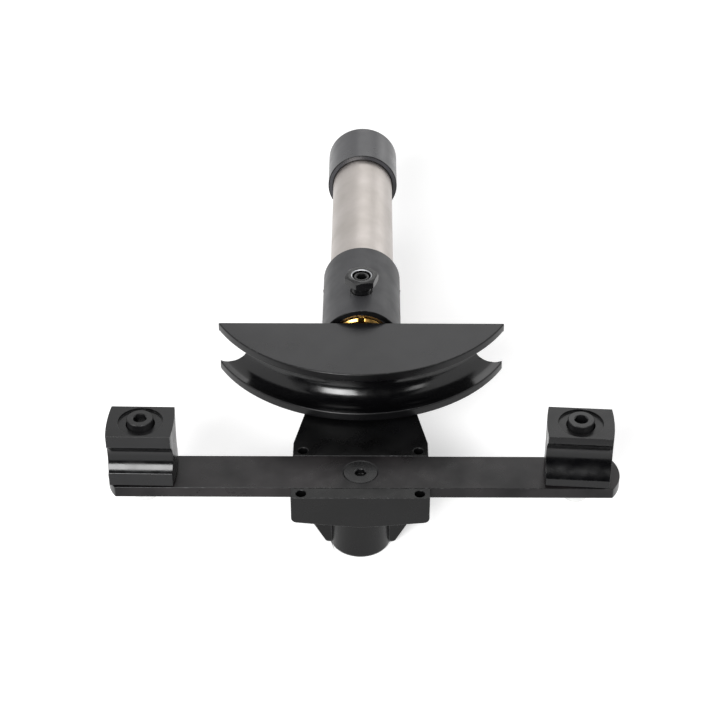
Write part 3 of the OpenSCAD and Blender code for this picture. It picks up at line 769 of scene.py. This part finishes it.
# %% Former
groove_r = mm(10)
groove_turn_r = former_r - mm(3)
mouth_r = mm(11)
nose_bore_r = mm(9.08)
shoe_back = former_high.y
segment_former = bar("segment_former", (0, former_centre.y, former_low.z),
    (0, former_centre.y, former_high.z), former_r, sides=180,
    finishes=[anodised_face, anodised_edge, anodised_groove, anodised_rim_painted_shade])
saw(segment_former, (0, shoe_back, 0), (0, 1, 0))
bpy.ops.object.select_all(action="DESELECT")
bpy.ops.mesh.primitive_circle_add(vertices=60, radius=groove_r, location=(groove_turn_r, 0, 0),
    rotation=(math.radians(90), 0, 0))
groove_tool = settled("groove_tool", [])
with editing(groove_tool):
    bpy.ops.mesh.select_all(action="DESELECT")
    mesh = bmesh.from_edit_mesh(groove_tool.data)
    for vertex in mesh.verts:
        vertex.select_set(vertex.co.x > groove_turn_r + TINY)
    mesh.select_flush_mode()
    bmesh.update_edit_mesh(groove_tool.data)
    bpy.ops.transform.translate(value=(mm(8), 0, 0))
    bpy.ops.mesh.select_all(action="SELECT")
    bpy.ops.transform.rotate(value=math.radians(1), orient_axis="Z", center_override=(0, 0, 0))
    bpy.ops.mesh.spin(steps=180, angle=2 * math.pi, center=(0, 0, 0), axis=(0, 0, 1))
    bpy.ops.mesh.select_all(action="SELECT")
    bpy.ops.mesh.remove_doubles(threshold=TINY)
    bpy.ops.mesh.normals_make_consistent(inside=False)
groove_tool.location = former_centre
groove_tool = settled("groove_tool", [])
combine(segment_former, groove_tool)
mouth_y = shoe_back - mouth_r + nose_bore_r
drill(segment_former, (0, mouth_y - mm(27), ram_z), (0, shoe_back + past, ram_z), nose_bore_r, sides=64)
drill(segment_former, (0, mouth_y, ram_z), (0, shoe_back + past, ram_z), nose_bore_r, mouth_r + past,
    sides=64)
soften(segment_former, mm(0.7))


def in_groove(point):
    """Whether a point lies on the former's groove."""
    past_turn = math.hypot(point.x, point.y - former_centre.y) - groove_turn_r
    return math.hypot(min(past_turn, 0), point.z - former_centre.z) < groove_r + mm(0.05)


# The rim takes the darker copy of the anodised finish: painted shade.
repaint(segment_former, 3, lambda p: math.hypot(p.x, p.y - former_centre.y) > former_r - mm(0.1))
repaint(segment_former, 2, in_groove)
stand_for(segment_former, "former")

# %% [markdown]
# ## The hydraulic cylinder
# The barrel is a plain tube, the cap closes its rear end, and a brass gland closes the front and
# guides the rod. Its flange sits deep in the sleeve's mouth, and a slot across it takes a
# spanner. All three are turned pieces: round bars that are bored, and whose edges are broken.

# %% Barrel
cylinder_barrel = bar("cylinder_barrel", (0, barrel_low.y, ram_z), (0, barrel_high.y, ram_z), barrel_r,
    sides=160, finishes=[ground_tube])
drill(cylinder_barrel, (0, barrel_low.y - past, ram_z), (0, barrel_high.y + past, ram_z), mm(13.5), sides=128)
soften(cylinder_barrel, mm(0.4))
stand_for(cylinder_barrel, "barrel")

# %% End cap
cap_low, cap_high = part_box("end_cap")
cap_r = cap_high.x
cap_wall_y = barrel_high.y
port_r = mm(5.9)
rear_cap = bar("rear_cap", (0, cap_low.y, ram_z), (0, cap_high.y, ram_z), cap_r, sides=160,
    finishes=[blackened_cap, blackened_edge])
round_edges(rear_cap, lambda p: p.y > cap_high.y - TINY, mm(3), 8)
drill(rear_cap, (0, cap_low.y - past, ram_z), (0, cap_wall_y, ram_z), bore_r, sides=160)
drill(rear_cap, (0, cap_wall_y - past, ram_z), (0, cap_high.y + past, ram_z), port_r)
drill(rear_cap, (0, cap_high.y - mm(0.8), ram_z), (0, cap_high.y + hair, ram_z), port_r, port_r + mm(0.8))
soften(rear_cap, mm(0.5))
stand_for(rear_cap, "end_cap")

# %% Gland
gland_low, gland_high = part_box("gland")
flange_r = gland_high.x
flange_h = mm(3.95)
cone_h = mm(1)
cone_w = mm(1.6)
gland_front = gland_low.y
slot_half = mm(1.5)
gland_nut = bar("gland_nut", (0, gland_front + cone_h, ram_z), (0, gland_front + flange_h, ram_z), flange_r,
    sides=128, finishes=[turned_brass])
combine(gland_nut, bar("cone", (0, gland_front, ram_z), (0, gland_front + cone_h, ram_z),
    flange_r - cone_w, flange_r, sides=128), "UNION")
combine(gland_nut, bar("guide", (0, gland_front + mm(3), ram_z), (0, gland_high.y, ram_z), mm(13.45),
    sides=128), "UNION")
drill(gland_nut, (0, gland_front - past, ram_z), (0, gland_high.y + past, ram_z), mm(9.05))
drill(gland_nut, (0, gland_front - past, ram_z), (0, gland_front + mm(4.35), ram_z), mm(11.15), sides=128)
combine(gland_nut, block("spanner_slot", (-slot_half, gland_front - past, ram_z - 2 * flange_r),
    (slot_half, gland_front + mm(2), ram_z + 2 * flange_r)))
soften(gland_nut, mm(0.3))
stand_for(gland_nut, "gland")

# %% [markdown]
# ## The lock screw and its nut
# A grub screw through the top of the sleeve bears on the barrel, and a thin nut locks it. A few
# turns of its thread show under the nut. The thread is a small triangle that the Screw modifier
# winds round the screw's core.

# %% Lock screw
nut_low, nut_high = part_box("lock_nut")
thread_pitch = mm(1.5)
thread_depth = mm(0.9)
core_r = lock_r - thread_depth
turns = 7
hex_depth = mm(5)
lock_set_screw = bar("lock_set_screw", (0, 0, lock_low.z), (0, 0, lock_high.z), core_r, sides=64,
    finishes=[blackened_screw, blackened_edge])
round_edges(lock_set_screw, lambda p: p.z > lock_high.z - TINY, mm(0.4), 3)
tooth_r = thread_pitch * 0.54
bpy.ops.object.select_all(action="DESELECT")
bpy.ops.mesh.primitive_circle_add(vertices=3, radius=tooth_r, fill_type="NOTHING",
    location=(lock_r - running_fit - tooth_r, 0, lock_high.z - (turns + 0.6) * thread_pitch),
    rotation=(math.radians(90), 0, 0))
only(bpy.context.object)
thread = bpy.context.object
with editing(thread):
    bpy.ops.mesh.select_all(action="SELECT")
    bpy.ops.transform.rotate(value=math.radians(-90), orient_axis="Y", center_override=thread.location)
thread = settled("thread", [])
shape(thread, "SCREW", axis="Z", angle=2 * math.pi, screw_offset=thread_pitch, iterations=turns,
    steps=64, render_steps=64, use_smooth_shade=False)
with editing(thread):
    bpy.ops.mesh.select_all(action="SELECT")
    bpy.ops.mesh.remove_doubles(threshold=TINY)
    bpy.ops.mesh.fill_holes(sides=3)
    bpy.ops.mesh.normals_make_consistent(inside=False)
combine(lock_set_screw, thread, "UNION")
drill(lock_set_screw, (0, 0, lock_high.z - hex_depth), (0, 0, lock_high.z + past), hexagon(mm(5)), sides=6)
drill(lock_set_screw, (0, 0, lock_high.z - mm(0.5)), (0, 0, lock_high.z + hair), mm(2.5), mm(3.1))
smooth(lock_set_screw)
lock_set_screw.location.y = lock_y
bpy.ops.object.transform_apply(location=True, rotation=True, scale=True)
stand_for(lock_set_screw, "lock_screw")

# %% Lock nut
lock_flats = mm(16)
lock_turn = math.radians(12.4)
lock_hex_nut = bar("lock_hex_nut", (0, 0, nut_low.z), (0, 0, nut_high.z), hexagon(lock_flats),
    sides=6, finishes=[blackened_screw, blackened_edge, turned_steel])
chamfer_nut(lock_hex_nut, nut_low.z, nut_high.z, lock_flats)
drill(lock_hex_nut, (0, 0, nut_low.z - past), (0, 0, nut_high.z + past), lock_r, sides=64)
drill(lock_hex_nut, (0, 0, nut_high.z - mm(0.35)), (0, 0, nut_high.z + hair), lock_r, lock_r + mm(0.6),
    sides=64)
smooth(lock_hex_nut)
repaint(lock_hex_nut, 2, lambda p: math.hypot(p.x, p.y) < lock_r + mm(0.5)
    and nut_high.z - mm(0.3) < p.z < nut_high.z - TINY)
lock_hex_nut.location.y = lock_y
lock_hex_nut.rotation_euler.z = lock_turn
bpy.ops.object.transform_apply(location=True, rotation=True, scale=True)
stand_for(lock_hex_nut, "lock_nut")

# %% [markdown]
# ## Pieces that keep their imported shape
# The bushes, washers, seals, piston, rod and spring are hidden or nearly so, and their packed
# shape is already the real one. They only get their finish.

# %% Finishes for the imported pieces
packed_finishes = {
    "pivot_bushes": sintered_bronze, "thrust_washers": turned_steel, "ram_rod": hard_chrome,
    "nose_ring": nitrile_rubber, "piston": turned_steel, "piston_guide_ring": phenolic,
    "piston_seal": blue_urethane, "piston_nut": turned_steel, "end_cap_ring": nitrile_rubber,
    "rod_wiper": nitrile_rubber, "rod_seal": blue_urethane, "gland_ring": nitrile_rubber,
    "return_spring": spring_steel,
}
for node, finish in packed_finishes.items():
    packed = frame["nodes"][node]
    for slot_number in range(len(packed.material_slots)):
        packed.material_slots[slot_number].material = finish
print("packed pieces with a finish:", len(packed_finishes))

# %% [markdown]
# ## The studio
# A white floor, a white world and five soft lamps. The tall strip at the front left draws the
# highlight in the grooves, a small one at the front right a second, weaker one. Those behind give
# the tube its bright band and the top faces their sheen. Camera and mirror rays see the world as
# plain white, and only the light that it throws on the pieces is dimmer. Two black cards in front
# and one behind the camera keep the grooves and the front faces dark, as a dark room would.


# %% World
def white_rays(tree):
    """1 for rays that should see the white background: from the camera, off gloss and through glass."""
    path = add_node(tree, "ShaderNodeLightPath")
    seen = add_node(tree, "ShaderNodeMath", {
        0: path.outputs["Is Camera Ray"], 1: path.outputs["Is Glossy Ray"]}, operation="ADD")
    return add_node(tree, "ShaderNodeMath", {
        0: seen.outputs[0], 1: path.outputs["Is Transmission Ray"]}, operation="ADD",
        use_clamp=True).outputs[0]


world_light = 0.35
world = bpy.data.worlds.new("white_studio")
bpy.context.scene.world = world
world.use_nodes = True
world.node_tree.nodes.clear()
strength = spread(world.node_tree, white_rays(world.node_tree), world_light, 1.0, 0, 1)
background = add_node(world.node_tree, "ShaderNodeBackground", {
    "Color": linear("ffffff"), "Strength": strength})
add_node(world.node_tree, "ShaderNodeOutputWorld", {"Surface": background.outputs[0]})


# %% Lamps
def soft_lamp(name, place, target, width, height, radiance):
    """A rectangular soft lamp at a place, turned to a target, of a given brightness to the eye."""
    lamp = bpy.data.objects.new(name, bpy.data.lights.new(name, "AREA"))
    lamp.data.shape = "RECTANGLE"
    lamp.data.size = width
    lamp.data.size_y = height
    lamp.data.energy = radiance * math.pi * width * height
    lamp.location = place
    lamp.rotation_euler = (Vector(target) - Vector(place)).to_track_quat("-Z", "Y").to_euler()
    lamp.visible_camera = False
    bpy.context.scene.collection.objects.link(lamp)
    return lamp


middle = (0, 0.06, deck_z)
soft_lamp("strip_lamp_front_left", (-0.43, -1.22, 0.73), middle, 0.6, 0.78, 21)
soft_lamp("small_lamp_front_right", (0.98, -0.85, 0.73), middle, 0.3, 0.5, 4)
soft_lamp("overhead_lamp", (0, 0.2, 1.65), middle, 1.0, 1.0, 1.6)
soft_lamp("back_lamp", (0.12, 1.36, 0.98), middle, 0.7, 0.7, 1.0)
soft_lamp("back_right_lamp", (0.85, 1.36, 0.45), middle, 0.6, 0.6, 1.1)

# %% Black cards
def black_card(name, low, high):
    """A card that only the gloss sees. It hides nothing, lights nothing and throws no shadow."""
    card = block(name, low, high, [black_card_paint])
    card.visible_camera = False
    card.visible_diffuse = False
    card.visible_shadow = False


black_card_paint = new_finish("matt_black_card")
black_card_tree = black_card_paint.node_tree
close_finish(black_card_paint, add_node(black_card_tree, "ShaderNodeBsdfDiffuse", {
    "Color": linear("030303")}))
black_card("card_behind_the_camera", (-3, -2.02, 0), (3, -2, 6))
black_card("left_card_on_the_floor", (-3, -2, 0.001), (0, -0.35, 0.002))
black_card("right_card_on_the_floor", (0, -2, 0.001), (3, -0.12, 0.002))

# %% Floor
bpy.ops.object.select_all(action="DESELECT")
bpy.ops.mesh.primitive_plane_add(size=12, location=(0, 0, frame_low.z))
floor = settled("floor", [])
paper = new_finish("matt_white_paper")
tree = paper.node_tree
matt = add_node(tree, "ShaderNodeBsdfDiffuse", {"Color": linear("e9e9e9")})
glow = add_node(tree, "ShaderNodeEmission", {"Strength": 0.42})
both = add_node(tree, "ShaderNodeAddShader", {0: matt.outputs[0], 1: glow.outputs[0]})
choice = add_node(tree, "ShaderNodeMixShader", {
    0: white_rays(tree), 1: matt.outputs[0], 2: both.outputs[0]})
add_node(tree, "ShaderNodeOutputMaterial", {"Surface": choice.outputs[0]})
floor.data.materials.append(paper)

# %% Colours are shown as they are written
bpy.context.scene.view_settings.view_transform = "Standard"
